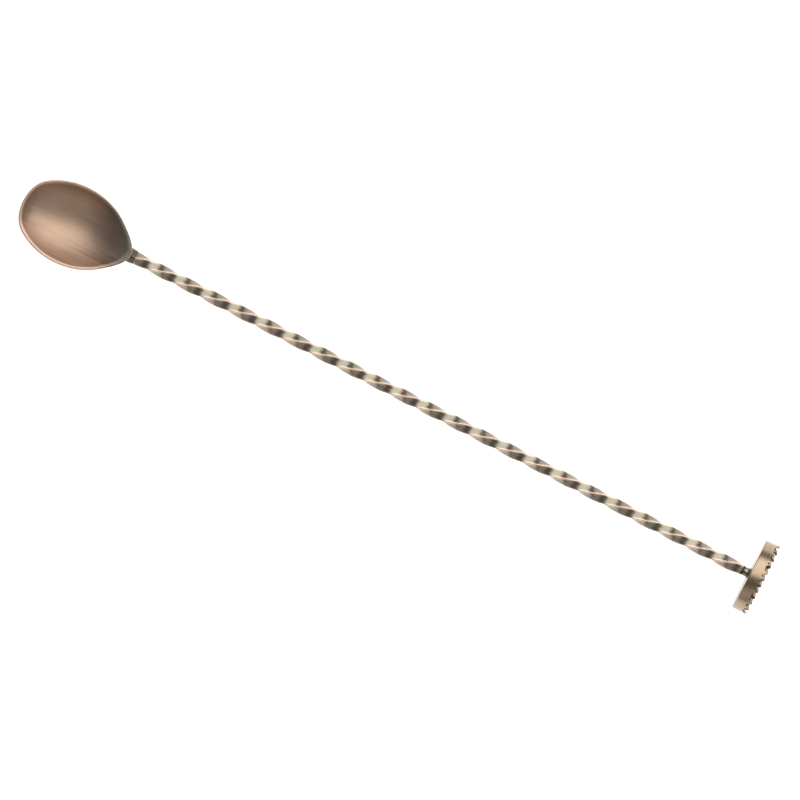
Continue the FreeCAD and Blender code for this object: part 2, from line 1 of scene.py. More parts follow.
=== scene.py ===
# %% [markdown]
# # A bar spoon in antique copper
#
# The spoon has three metal pieces: a pressed oval bowl, a long square bar that was twisted cold, and a
# toothed disc for crushing fruit. Two small brazed joints hold them together. This lesson builds each piece
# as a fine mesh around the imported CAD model, which gives every place and size, and then gives each piece
# its own antique copper.

# %% Load the frame
import json
import math

import bmesh
import bpy
import numpy as np
from mathutils import Matrix, Vector


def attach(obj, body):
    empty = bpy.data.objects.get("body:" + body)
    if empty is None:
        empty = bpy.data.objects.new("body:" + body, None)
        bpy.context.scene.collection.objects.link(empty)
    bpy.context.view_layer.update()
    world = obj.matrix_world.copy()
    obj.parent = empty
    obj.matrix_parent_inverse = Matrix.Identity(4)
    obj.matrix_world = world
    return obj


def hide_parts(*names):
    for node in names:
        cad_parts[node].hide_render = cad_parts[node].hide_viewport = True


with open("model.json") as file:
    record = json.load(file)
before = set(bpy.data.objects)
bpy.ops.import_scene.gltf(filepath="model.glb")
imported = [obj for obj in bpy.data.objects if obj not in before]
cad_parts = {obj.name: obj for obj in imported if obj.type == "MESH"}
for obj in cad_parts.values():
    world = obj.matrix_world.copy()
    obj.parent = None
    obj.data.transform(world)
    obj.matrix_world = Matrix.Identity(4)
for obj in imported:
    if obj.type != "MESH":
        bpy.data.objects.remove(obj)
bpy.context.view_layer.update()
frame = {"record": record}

# %% [markdown]
# The spoon lies at rest on its bowl and on the edge of its disc, so its stem rises a little. All pieces are
# easier to draw in a spoon frame, where X runs along the stem from the tip of the bowl, Z comes out of the
# open bowl, and the stem's axis is y = z = 0. The two mounts of the CAD record give that frame: one lies on
# the stem's axis and points along it, the other lies on the plane of the tooth tips.

# %% The spoon frame
MM = 0.001
OVERALL_LENGTH = 280 * MM

mounts = {mount["name"]: mount for mount in frame["record"]["mounts"]}
stem_axis = Vector(mounts["stem_grip"]["axis"]).normalized()
axis_point = Vector(mounts["stem_grip"]["pos_m"])
teeth_ahead = (Vector(mounts["muddling_face"]["pos_m"]) - axis_point).dot(stem_axis)
tip_point = axis_point + stem_axis * (teeth_ahead - OVERALL_LENGTH)
sideways = Vector((0, 1, 0))
upwards = stem_axis.cross(sideways)
SPOON = Matrix.Translation(tip_point) @ Matrix((stem_axis, sideways, upwards)).transposed().to_4x4()
print("bowl tip", tuple(round(value, 5) for value in tip_point))

# %% [markdown]
# These are the sizes of the real pieces, the same as in the CAD model. Every mesh below is worked out from
# them, so a change of one size carries through.

# %% Sizes of the pieces
BOWL_LENGTH = 41.0 * MM
BOWL_WIDTH = 27.9 * MM
BOWL_DEPTH = 8.5 * MM
BOWL_WALL = 0.95 * MM
DEEPEST = 18.4 * MM             # from the tip to the deepest point
TIP_RADIUS = 9.85 * MM
TIP_ANGLE = math.radians(68)
NECK_FULLNESS = 1.45
RIM_LEVEL = 1.9 * MM            # the rim plane, above the stem's axis
BAR_ACROSS = 3.44 * MM
BAR_EDGE = 0.33 * MM
LAP_TURN = math.radians(45)     # the bar lies under the bowl with an edge on top
TWIST_TURNS = 5.625
PLAIN_AT_BOWL = 0.28 * MM
PLAIN_AT_DISC = 1.32 * MM
SHANK_RADIUS = 1.6 * MM
SHANK_SHOWN = 2.2 * MM
SHANK_SEATED = 2.5 * MM
SEAT_CLEARANCE = 0.04 * MM
SEAT_END_GAP = 0.2 * MM
DISC_RADIUS = 12.75 * MM
DISC_THICKNESS = 5.4 * MM
DISC_BACK_ROUND = 0.4 * MM
DISC_FRONT_BEVEL = 0.2 * MM
TOOTH_DEPTH = 1.7 * MM
TOOTH_PITCH = 2.3 * MM
GROOVE_MOUTH = 1.75 * MM
GROOVE_FLOOR = 0.3 * MM
GRID_TURN = math.radians(4.5)
BRAZE_GAP = 0.05 * MM
BOWL_BRAZE_LEG = 0.25 * MM
BOWL_BRAZE_REACH = 0.35 * MM
DISC_BRAZE_LEG = 0.6 * MM

DISC_BACK = OVERALL_LENGTH - DISC_THICKNESS
BAR_END = DISC_BACK - SHANK_SHOWN
NECK_SLOPE = NECK_FULLNESS * math.atan2(BOWL_DEPTH, BOWL_LENGTH - DEEPEST)
ROUNDING = math.sqrt(2) - 1     # what a rounded edge takes off a square's corner, per radius
BAR_CORNER = BAR_ACROSS / math.sqrt(2) - BAR_EDGE * ROUNDING
COLLAR_TOP = BAR_CORNER + BOWL_BRAZE_LEG * (math.sqrt(2) - ROUNDING)
COLLAR_END = BOWL_LENGTH + (COLLAR_TOP - RIM_LEVEL) / math.tan(NECK_SLOPE) + BOWL_BRAZE_REACH
TWIST_START = COLLAR_END + PLAIN_AT_BOWL
TWIST_END = BAR_END - PLAIN_AT_DISC

# %% [markdown]
# A few small helpers are used by every piece. `clean` merges doubles and turns a mesh the right way out.
# `finish_mesh` makes an object of a mesh drawn in the spoon frame, with its real place in the mesh itself.
# `ring_faces` joins rings of points. `lathe` makes a solid of revolution about the stem from a line drawn as
# (distance along the stem, radius). `node`, `maths` and `remap` add one node and fill in its inputs.


# %% Helpers for meshes and nodes
SAME_POINT = 1e-7               # metres between points that are merged
ON_AXIS = 1e-9                  # a radius below this, in metres, is on the stem's axis


def clean(mesh):
    """Merge doubles and turn the faces outwards. Returns the number of open edges and the volume."""
    work = bmesh.new()
    work.from_mesh(mesh)
    bmesh.ops.remove_doubles(work, verts=work.verts, dist=SAME_POINT)
    bmesh.ops.recalc_face_normals(work, faces=work.faces)
    if work.calc_volume(signed=True) < 0:
        bmesh.ops.reverse_faces(work, faces=work.faces)
    open_edges = sum(1 for edge in work.edges if len(edge.link_faces) != 2)
    volume = work.calc_volume()
    work.to_mesh(mesh)
    work.free()
    return open_edges, volume


def finish_mesh(name, mesh, material):
    """Make an object of a mesh drawn in the spoon frame, with faces that point outwards."""
    mesh.transform(SPOON)
    open_edges, volume = clean(mesh)
    mesh.materials.clear()
    mesh.materials.append(material)
    piece = bpy.data.objects.new(name, mesh)
    bpy.context.scene.collection.objects.link(piece)
    print(f"{name}: {len(mesh.polygons)} faces, {open_edges} open edges, {volume * 1e9:.0f} mm3")
    return piece


def ring_faces(rings, segments):
    """Quads between rings of points that follow each other, each ring closed on itself."""
    faces = []
    for ring in range(rings - 1):
        for step in range(segments):
            following = (step + 1) % segments
            low, high = ring * segments, (ring + 1) * segments
            faces.append((low + step, low + following, high + following, high + step))
    return faces


def lathe(name, outline, segments=192):
    """A mesh turned about the stem from (x, radius) points.

    Ends on the axis are closed by a fan. A line with no end on the axis is closed on itself, into a ring.
    """
    on_axis = [point for point in outline if point[1] < ON_AXIS]
    rings = [point for point in outline if point[1] >= ON_AXIS]
    turn = np.linspace(0, 2 * math.pi, segments, endpoint=False)
    points = [(x, radius * math.cos(a), radius * math.sin(a)) for x, radius in rings for a in turn]
    faces = ring_faces(len(rings), segments)
    if on_axis:
        for end, ring in ((on_axis[0], 0), (on_axis[-1], len(rings) - 1)):
            points.append((end[0], 0, 0))
            pole = len(points) - 1
            for step in range(segments):
                first = ring * segments + step
                second = ring * segments + (step + 1) % segments
                faces.append((first, second, pole))
    else:
        last = (len(rings) - 1) * segments
        for step in range(segments):
            following = (step + 1) % segments
            faces.append((last + step, last + following, following, step))
    mesh = bpy.data.meshes.new(name)
    mesh.from_pydata(points, [], faces)
    clean(mesh)
    return mesh


def node(tree, kind, settings=None, **inputs):
    """Add a node, set its properties, and set or link its inputs, by name or as i0, i1 by number."""
    made = tree.nodes.new(kind)
    for name, value in (settings or {}).items():
        setattr(made, name, value)
    for name, value in inputs.items():
        key = int(name[1:]) if name[0] == "i" and name[1:].isdigit() else name.replace("_", " ")
        socket = made.inputs[key]
        if isinstance(value, bpy.types.NodeSocket):
            tree.links.new(value, socket)
        else:
            socket.default_value = value
    return made


def maths(tree, operation, *values):
    """A Math node's result."""
    made = tree.nodes.new("ShaderNodeMath")
    made.operation = operation
    for socket, value in zip(made.inputs, values):
        if isinstance(value, bpy.types.NodeSocket):
            tree.links.new(value, socket)
        else:
            socket.default_value = value
    return made.outputs[0]


def remap(tree, value, low, high, to_low=0.0, to_high=1.0, kind="SMOOTHSTEP"):
    """A Map Range node's result, held between its two ends."""
    made = tree.nodes.new("ShaderNodeMapRange")
    made.interpolation_type = kind
    for socket, number in zip(made.inputs, (value, low, high, to_low, to_high)):
        if isinstance(number, bpy.types.NodeSocket):
            tree.links.new(number, socket)
        else:
            socket.default_value = number
    return made.outputs[0]


# %% [markdown]
# ## The finish
#
# Antique copper starts as bright copper plate. It is darkened in a bath, then rubbed back, so the hollows
# and flats stay olive grey and the edges that the cloth reaches shine. A single colour can't show that, so
# each finish mixes three: the dark film, the half rubbed copper and the bright copper of the edges. A mask
# for each piece says where the cloth reached, and a brushed noise, stretched along the strokes, breaks it
# up. On the bowl and the disc the masks also paint light and shade into the colour: painted shade towards
# the bowl's neck and +Y side, a painted highlight on its -Y side, and painted shade in the disc's grooves
# on top of their film. The pattern reads Object coordinates through a Mapping node that turns them into the
# spoon frame, so it follows the metal and not the world.

# %% Antique copper
BRIGHT_COPPER = (0.62, 0.415, 0.305, 1)
CLOUD_SCALE = (90, 130, 130)        # grains per metre of the cloudy film
GRAIN_SCALE = (1500, 1500, 1500)    # and of the fine grain
BRUSH_WEIGHT = 1.6                  # how much more the brushing counts than the cloudy film
EDGE_BREAK_UP = 0.6                 # how much of the unevenness reaches the bright edges
EDGE_STARTS, EDGE_FULL = 0.25, 0.95
METAL_SHOWS = 0.35                  # how far the film has to be rubbed off before bare metal shows
FILM_METAL = 0.5                    # how metallic the film is, as a share of the metal under it
ROUGH_STROKES = 0.22                # how much the strokes change the roughness
GRAIN_HEIGHT = 0.3                  # of the brush strokes' height
BUMP_STRENGTH = 0.25
BUMP_HEIGHT = 0.02 * MM


def spoon_coordinates(tree):
    """Object coordinates turned into the spoon frame."""
    place = tree.nodes.new("ShaderNodeTexCoord").outputs["Object"]
    turned = node(tree, "ShaderNodeMapping", {"vector_type": "TEXTURE"}, Vector=place)
    turned.inputs["Location"].default_value = SPOON.translation
    turned.inputs["Rotation"].default_value = SPOON.to_euler()
    return turned.outputs[0]


def stretched_noise(tree, place, scale, detail):
    """Noise whose grain has a size of its own along each axis of the spoon frame."""
    spread = node(tree, "ShaderNodeMapping", Vector=place)
    spread.inputs["Scale"].default_value = scale
    grain = node(tree, "ShaderNodeTexNoise", Vector=spread.outputs[0], Scale=1.0, Detail=detail)
    return grain.outputs[0]


def mix_colours(tree, amount, first, second):
    """Mix two colours, each a socket or a fixed colour."""
    mixed = node(tree, "ShaderNodeMix", {"data_type": "RGBA"}, i0=amount)
    for socket, colour in ((mixed.inputs[6], first), (mixed.inputs[7], second)):
        if isinstance(colour, bpy.types.NodeSocket):
            tree.links.new(colour, socket)
        else:
            socket.default_value = colour
    return mixed.outputs[2]


def antique_copper(name, film, rubbed, masks, brush_scale, roughness, metal, variation):
    """A copper finish.

    film and rubbed are the dark and the half rubbed colour. masks(tree, x, y, z) returns how far the film
    is rubbed off and where the metal is bright, both from 0 to 1. roughness is that of the film, of the half
    rubbed and of the bright metal. metal is how metallic the rubbed surface is, because a fine brushed
    surface scatters a little. variation is how strongly the brushing and the cloudy film break up the masks.
    """
    material = bpy.data.materials.new(name)
    material.use_nodes = True
    tree = material.node_tree
    shader = tree.nodes["Principled BSDF"]
    place = spoon_coordinates(tree)
    split = node(tree, "ShaderNodeSeparateXYZ", Vector=place)
    # polish and the bright share carry the real film and wear. They also carry painted shade on the bowl and
    # in the disc's grooves, and a painted highlight on the bowl.
    polish, bright_copper_share = masks(tree, *split.outputs)
    brush = stretched_noise(tree, place, brush_scale, 3.0)
    cloud = stretched_noise(tree, place, CLOUD_SCALE, 3.0)
    grain = stretched_noise(tree, place, GRAIN_SCALE, 2.0)
    strokes = maths(tree, "SUBTRACT", brush, 0.5)
    uneven = maths(tree, "ADD", maths(tree, "MULTIPLY", strokes, BRUSH_WEIGHT),
                   maths(tree, "SUBTRACT", cloud, 0.5))
    shift = maths(tree, "MULTIPLY", uneven, variation)
    amount = remap(tree, maths(tree, "ADD", polish, shift), 0.0, 1.0, kind="LINEAR")
    edge_shift = maths(tree, "MULTIPLY", shift, EDGE_BREAK_UP)
    edge = remap(tree, maths(tree, "ADD", bright_copper_share, edge_shift), EDGE_STARTS, EDGE_FULL)
    colour = mix_colours(tree, edge, mix_colours(tree, amount, film, rubbed), BRIGHT_COPPER)
    tree.links.new(colour, shader.inputs["Base Color"])
    film_rough, rubbed_rough, bright_rough = roughness
    rubbed_off = remap(tree, amount, 0.0, METAL_SHOWS, film_rough, rubbed_rough)
    base_rough = remap(tree, edge, 0.0, 1.0, rubbed_off, bright_rough, "LINEAR")
    rough = maths(tree, "ADD", base_rough, maths(tree, "MULTIPLY", strokes, ROUGH_STROKES))
    tree.links.new(rough, shader.inputs["Roughness"])
    metallic = remap(tree, amount, 0.0, METAL_SHOWS, FILM_METAL * metal, metal)
    tree.links.new(metallic, shader.inputs["Metallic"])
    height = maths(tree, "ADD", brush, maths(tree, "MULTIPLY", grain, GRAIN_HEIGHT))
    bump = node(tree, "ShaderNodeBump", Strength=BUMP_STRENGTH, Distance=BUMP_HEIGHT, Height=height)
    tree.links.new(bump.outputs[0], shader.inputs["Normal"])
    print(f"finish {name}: {len(tree.nodes)} nodes")
    return material


# %% [markdown]
# ## The bowl
#
# A bowl like this is pressed from sheet and trimmed flat at its rim. Its outside is a surface of revolution
# about a line above it, so its lengthwise section is enough to describe it: a small arc at the tip, two
# belly arcs that meet at the deepest point, and a straight run up to the neck. It could be turned and cut
# with a boolean, but that leaves a hard and ragged rim. Here the rim's outline is found first, and rings of
# points run in towards the deepest point, so the mesh is dense at the rim and closes at one pole inside and
# one outside.


# %% The bowl's section
def belly_radii():
    """Radii of the two belly arcs, and the angle where the tip arc starts."""
    drop = BOWL_DEPTH - TIP_RADIUS * (1 - math.cos(TIP_ANGLE))
    run = DEEPEST - TIP_RADIUS * math.sin(TIP_ANGLE)
    join = 2 * math.atan2(drop, run)
    front = TIP_RADIUS + run / math.sin(join)
    neck_run = BOWL_LENGTH - DEEPEST
    rise = neck_run * math.sin(NECK_SLOPE) - BOWL_DEPTH * math.cos(NECK_SLOPE)
    rear = rise / (1 - math.cos(NECK_SLOPE))
    return front, rear, join


FRONT_BELLY, REAR_BELLY, TIP_JOIN = belly_radii()
TURNING_HEIGHT = ((BOWL_WIDTH / 2) ** 2 - BOWL_DEPTH ** 2) / (2 * BOWL_DEPTH)
HALVINGS = 50                   # steps of the search for the rim's outline


def arc_depth(x, centre_x, centre_depth, radius):
    """Depth of an arc below the rim plane."""
    return centre_depth + np.sqrt(np.maximum(radius ** 2 - (x - centre_x) ** 2, 0))


def section_depth(x, inset):
    """Depth of the bowl's lengthwise section below the rim plane, moved inwards by inset."""
    tip_shift = FRONT_BELLY - TIP_RADIUS
    tip_x = DEEPEST - tip_shift * math.sin(TIP_JOIN)
    tip_depth = BOWL_DEPTH - FRONT_BELLY + tip_shift * math.cos(TIP_JOIN)
    tip = arc_depth(x, tip_x, tip_depth, TIP_RADIUS - inset)
    front = arc_depth(x, DEEPEST, BOWL_DEPTH - FRONT_BELLY, FRONT_BELLY - inset)
    rear = arc_depth(x, DEEPEST, BOWL_DEPTH - REAR_BELLY, REAR_BELLY - inset)
    neck = (BOWL_LENGTH - x) * math.tan(NECK_SLOPE) - inset / math.cos(NECK_SLOPE)
    tip_end = tip_x - (TIP_RADIUS - inset) * math.sin(TIP_JOIN)
    neck_start = DEEPEST + (REAR_BELLY - inset) * math.sin(NECK_SLOPE)
    back = np.where(x < neck_start, rear, neck)
    return np.where(x < tip_end, tip, np.where(x < DEEPEST, front, back))


def bowl_height(x, y, inset):
    """Height of the bowl's surface in the spoon frame."""
    radius = TURNING_HEIGHT + section_depth(x, inset)
    return RIM_LEVEL + TURNING_HEIGHT - np.sqrt(np.maximum(radius ** 2 - y ** 2, 0))


def outline(directions, level, inset):
    """Distances from the deepest point to where the surface reaches a level below the rim plane."""
    near = np.zeros_like(directions)
    far = np.full_like(directions, BOWL_LENGTH)
    for _ in range(HALVINGS):
        middle = (near + far) / 2
        x = DEEPEST + middle * np.cos(directions)
        y = middle * np.sin(directions)
        radius = TURNING_HEIGHT + section_depth(x, inset)
        inside = (radius ** 2 - y ** 2 > (TURNING_HEIGHT + level) ** 2) & (radius > 0)
        near = np.where(inside, middle, near)
        far = np.where(inside, far, middle)
    return near


# %% The bowl's mesh
BOWL_SEGMENTS = 256
BOWL_RINGS = 52
RIM_RINGS = 12
OUTER_ROUND = 0.14 * MM         # how far the rim's outer edge is rounded down
INNER_ROUND = 0.45 * MM         # and its inner edge, which is polished more
OUTER_SHARE = 0.25              # share of the rim's width that the outer rounding takes
INNER_SHARE = 0.6               # and the inner rounding
INNER_CURVE = 2.2
RING_CROWDING = 1.6             # how much closer the rings lie near the rim
RUBBED_WIDTH = 0.40 * MM        # width of the bright line along the rim


def surface_rings(directions, reach, inset):
    """Rings of points on one side of the wall, from near the deepest point out to the rim."""
    rings = []
    for ring in range(1, BOWL_RINGS + 1):
        share = 1 - (1 - ring / BOWL_RINGS) ** RING_CROWDING
        x = DEEPEST + share * reach * np.cos(directions)
        y = share * reach * np.sin(directions)
        rings.append(np.stack([x, y, bowl_height(x, y, inset)], axis=1))
    return rings


def rim_drop(share):
    """How far the rim is below its plane, from its outer edge (0) to its inner edge (1)."""
    outer = OUTER_ROUND * max(0.0, 1 - share / OUTER_SHARE) ** 2
    inner = INNER_ROUND * max(0.0, 1 - (1 - share) / INNER_SHARE) ** INNER_CURVE
    return outer + inner


def rim_rings(outer, inner):
    """Rings across the rim."""
    rings = []
    for ring in range(1, RIM_RINGS):
        share = ring / RIM_RINGS
        points = outer * (1 - share) + inner * share
        points[:, 2] = RIM_LEVEL - rim_drop(share)
        rings.append(points)
    return rings


def bowl_mesh():
    """The bowl as one closed surface: outside, rim and inside. An attribute marks the points at its edge."""
    directions = np.linspace(0, 2 * math.pi, BOWL_SEGMENTS, endpoint=False)
    outside = surface_rings(directions, outline(directions, OUTER_ROUND, 0.0), 0.0)
    inside = surface_rings(directions, outline(directions, INNER_ROUND, BOWL_WALL), BOWL_WALL)
    edge = outside[-1]
    rings = outside + rim_rings(edge, inside[-1]) + inside[::-1]
    points = np.concatenate(rings).tolist()
    edge_distances = [np.linalg.norm(ring - edge, axis=1) for ring in rings]
    rubbed = 1 - np.concatenate(edge_distances) / RUBBED_WIDTH
    faces = ring_faces(len(rings), BOWL_SEGMENTS)
    for ring, inset in ((0, 0.0), (len(rings) - 1, BOWL_WALL)):
        points.append((DEEPEST, 0.0, RIM_LEVEL - BOWL_DEPTH + inset))
        first = ring * BOWL_SEGMENTS
        for step in range(BOWL_SEGMENTS):
            faces.append((first + step, first + (step + 1) % BOWL_SEGMENTS, len(points) - 1))
    mesh = bpy.data.meshes.new("bowl_spun")
    mesh.from_pydata(points, [], faces)
    rim_line_and_highlight = mesh.attributes.new("rubbed", "FLOAT", "POINT")
    rim_line_and_highlight.data.foreach_set("value", np.append(np.clip(rubbed, 0, 1), (0, 0)).astype(np.float32))
    return mesh


# %% The bowl's finish
FILM_AND_SHADE_FULL = 42 * MM             # along the stem, where the film and its painted shade are whole
FILM_AND_SHADE_GONE = 23 * MM             # and where they are gone
SHADE_SLANT = 0.6                # how far that border slants across the bowl
BOWL_POLISH = 0.85
HIGHLIGHT_FROM = -2 * MM             # across the bowl, where the painted highlight starts
HIGHLIGHT_FULL = -9 * MM
SIDE_HIGHLIGHT = 0.8


def bowl_masks(tree, x, y, z):
    """The film is whole towards the neck and the +Y side, which paints shade there. The rim's edge is
    bright.

    A painted highlight: the -Y side of the bowl gets bright copper where the film is thin.
    """
    diagonal = maths(tree, "ADD", x, maths(tree, "MULTIPLY", y, SHADE_SLANT))
    polish = remap(tree, diagonal, FILM_AND_SHADE_FULL, FILM_AND_SHADE_GONE, 0.0, BOWL_POLISH)
    line = node(tree, "ShaderNodeAttribute", {"attribute_name": "rubbed"})
    highlight_side = remap(tree, y, HIGHLIGHT_FROM, HIGHLIGHT_FULL, 0.0, SIDE_HIGHLIGHT)
    rim_line_and_highlight = maths(tree, "MULTIPLY", highlight_side, polish)
    return polish, maths(tree, "MAXIMUM", line.outputs["Fac"], rim_line_and_highlight)


# The bowl's film paints shade towards the neck and the +Y side. Its bright copper on the -Y side is a
# painted highlight.
bowl_copper = antique_copper(
    "bowl_copper", (0.11, 0.104, 0.090, 1), (0.41, 0.277, 0.197, 1), bowl_masks,
    brush_scale=(32, 1000, 50), roughness=(0.50, 0.48, 0.50), metal=0.78, variation=0.42)
bowl = finish_mesh("bowl_pressed", bowl_mesh(), bowl_copper)

# %% [markdown]
# ## The twisted stem
#
# The stem is a square bar, gripped at both ends and turned more than five times to the left. Its shape
# follows one rule, a rounded square swept along a line while it turns, so Geometry Nodes make it: a line is
# resampled, its tilt is set from the distance along it, and the section is swept. A bar that is twisted
# cold never turns quite evenly, so a slow wave moves the turns a little. The same tree turns the disc end
# down to a round shank: a lathe only takes off what stands further out than the tool, so each point keeps
# the smaller of its own radius and the tool's.

# %% Geometry Nodes helpers
SOCKETS = {
    float: "NodeSocketFloat",
    int: "NodeSocketInt",
    bpy.types.Material: "NodeSocketMaterial",
}


def new_tree(name, inputs):
    """A geometry node tree with one named input for each entry. Returns it with its ends and its keys."""
    tree = bpy.data.node_groups.new(name, "GeometryNodeTree")
    tree.interface.new_socket("Geometry", in_out="INPUT", socket_type="NodeSocketGeometry")
    tree.interface.new_socket("Geometry", in_out="OUTPUT", socket_type="NodeSocketGeometry")
    keys = {}
    for label, value in inputs.items():
        socket = tree.interface.new_socket(label, in_out="INPUT", socket_type=SOCKETS[type(value)])
        keys[label] = socket.identifier
    source = tree.nodes.new("NodeGroupInput").outputs
    target = tree.nodes.new("NodeGroupOutput").inputs[0]
    return tree, source, target, keys


def close_tree(tree, source, target, geometry):
    """End a tree as plain geometry with its material."""
    plain = node(tree, "GeometryNodeRealizeInstances", Geometry=geometry)
    painted = node(tree, "GeometryNodeSetMaterial", Geometry=plain.outputs[0],
                   Material=source["Material"])
    tree.links.new(painted.outputs[0], target)


def evaluate(tree, keys, inputs, start_mesh):
    """Run a tree on a mesh and return the result as a new plain mesh."""
    carrier = bpy.data.objects.new("carrier", start_mesh)
    bpy.context.scene.collection.objects.link(carrier)
    modifier = carrier.modifiers.new(tree.name, "NODES")
    modifier.node_group = tree
    for label, value in inputs.items():
        modifier[keys[label]] = value
    bpy.context.view_layer.update()
    depsgraph = bpy.context.evaluated_depsgraph_get()
    mesh = bpy.data.meshes.new_from_object(carrier.evaluated_get(depsgraph), depsgraph=depsgraph)
    carrier.modifiers.remove(modifier)
    bpy.data.objects.remove(carrier)
    return mesh


# %% The stem's tree
STEM_START = (BOWL_LENGTH + DEEPEST) / 2    # drawn from inside the bowl's neck and trimmed below
STEM_END = DISC_BACK + SHANK_SEATED
WAVE_FADE = 0.08                # share of the twist over which the wave fades in and out
SHOULDER_LENGTH = 0.9 * MM
ROUNDING_STEPS = 4              # lines along each rounded edge, before the cuts
FLAT_CUTS = 2                   # cuts of each line of the section


def tilt_along(tree, source, x):
    """Angle of the bar's section at a distance along the stem."""
    share = remap(tree, x, source["Twist Start"], source["Twist End"], kind="LINEAR")
    turned = maths(tree, "MULTIPLY", maths(tree, "MULTIPLY", share, source["Turns"]), 2 * math.pi)
    from_peak = maths(tree, "SUBTRACT", share, source["Wave Peak"])
    waves = maths(tree, "DIVIDE", from_peak, source["Wave Length"])
    wave_turn = maths(tree, "MULTIPLY", waves, 2 * math.pi)
    wave = maths(tree, "MULTIPLY", maths(tree, "COSINE", wave_turn), source["Wave Angle"])
    fade_in = remap(tree, share, 0.0, WAVE_FADE)
    fade_out = remap(tree, share, 1.0, 1 - WAVE_FADE)
    uneven = maths(tree, "MULTIPLY", maths(tree, "MULTIPLY", wave, fade_in), fade_out)
    start = maths(tree, "ADD", uneven, source["Lap Turn"])
    return maths(tree, "SUBTRACT", start, turned)


def turned_down(tree, source, swept):
    """Move points in to the lathe tool's radius along the shoulder and the shank."""
    place = tree.nodes.new("GeometryNodeInputPosition").outputs[0]
    split = node(tree, "ShaderNodeSeparateXYZ", Vector=place)
    flat = node(tree, "ShaderNodeCombineXYZ", Y=split.outputs[1], Z=split.outputs[2])
    length = node(tree, "ShaderNodeVectorMath", {"operation": "LENGTH"}, i0=flat.outputs[0])
    own = length.outputs["Value"]
    tool = remap(tree, split.outputs[0], source["Shoulder Start"], source["Shoulder End"],
                 source["Across Flats"], source["Shank Radius"], "LINEAR")
    kept = maths(tree, "DIVIDE", maths(tree, "MINIMUM", own, tool), own)
    shrunk = node(tree, "ShaderNodeVectorMath", {"operation": "SCALE"}, i0=flat.outputs[0], Scale=kept)
    along = node(tree, "ShaderNodeCombineXYZ", X=split.outputs[0])
    total = node(tree, "ShaderNodeVectorMath", {"operation": "ADD"}, i0=shrunk.outputs[0],
                 i1=along.outputs[0])
    moved = node(tree, "GeometryNodeSetPosition", Geometry=swept, Position=total.outputs[0])
    return moved.outputs[0]


def stem_mesh(material):
    """The twisted bar with its turned shank, in the spoon frame."""
    inputs = {
        "Start": STEM_START, "End": STEM_END, "Ring Spacing": 0.42 * MM,
        "Across Flats": BAR_ACROSS, "Edge Radius": BAR_EDGE,
        "Twist Start": TWIST_START, "Twist End": TWIST_END, "Turns": TWIST_TURNS,
        "Lap Turn": LAP_TURN,
        "Wave Angle": math.radians(3), "Wave Peak": 0.85, "Wave Length": 0.5,
        "Shoulder Start": BAR_END - SHOULDER_LENGTH, "Shoulder End": BAR_END,
        "Shank Radius": SHANK_RADIUS,
        "Material": material,
    }
    tree, source, target, keys = new_tree("Twisted bar", inputs)
    first = node(tree, "ShaderNodeCombineXYZ", X=source["Start"])
    last = node(tree, "ShaderNodeCombineXYZ", X=source["End"])
    path = node(tree, "GeometryNodeCurvePrimitiveLine", Start=first.outputs[0], End=last.outputs[0])
    rings = node(tree, "GeometryNodeResampleCurve", {"mode": "LENGTH"}, Curve=path.outputs[0],
                 Length=source["Ring Spacing"])
    place = tree.nodes.new("GeometryNodeInputPosition").outputs[0]
    x = node(tree, "ShaderNodeSeparateXYZ", Vector=place).outputs[0]
    tilted = node(tree, "GeometryNodeSetCurveTilt", Curve=rings.outputs[0],
                  Tilt=tilt_along(tree, source, x))
    square = node(tree, "GeometryNodeCurvePrimitiveQuadrilateral", Width=source["Across Flats"],
                  Height=source["Across Flats"])
    rounded = node(tree, "GeometryNodeFilletCurve", {"mode": "POLY"}, Curve=square.outputs[0],
                   Count=ROUNDING_STEPS, Radius=source["Edge Radius"])
    divided = node(tree, "GeometryNodeSubdivideCurve", Curve=rounded.outputs[0], Cuts=FLAT_CUTS)
    swept = node(tree, "GeometryNodeCurveToMesh", Curve=tilted.outputs[0],
                 Profile_Curve=divided.outputs[0], Fill_Caps=True)
    turned = turned_down(tree, source, swept.outputs[0])
    smooth = node(tree, "GeometryNodeSetShadeSmooth", Geometry=turned)
    close_tree(tree, source, target, smooth.outputs[0])
    return evaluate(tree, keys, inputs, bpy.data.meshes.new("stem_start"))


# %% [markdown]
# The bowl's end of the bar is filed to the slope of the bowl's underside, so that it laps under the neck
# and leaves room for the braze. The sweep leaves a flat end inside the bowl. Each point of the plain end
# slides along the bar until the end sits on the bowl's outside, and the flat end face becomes a small
# curved patch.


# %% File the stem's end to the bowl
PATCH_RINGS = (0.7, 0.4)        # sizes of the rings inside the end patch, as shares of its outline


def neck_contact(y, z, gap):
    """Where a line along the stem at (y, z) meets the bowl's outside, grown by a gap."""
    depth = np.sqrt(y ** 2 + (RIM_LEVEL + TURNING_HEIGHT - z) ** 2) - TURNING_HEIGHT
    return BOWL_LENGTH - depth / math.tan(NECK_SLOPE) + gap / math.sin(NECK_SLOPE)


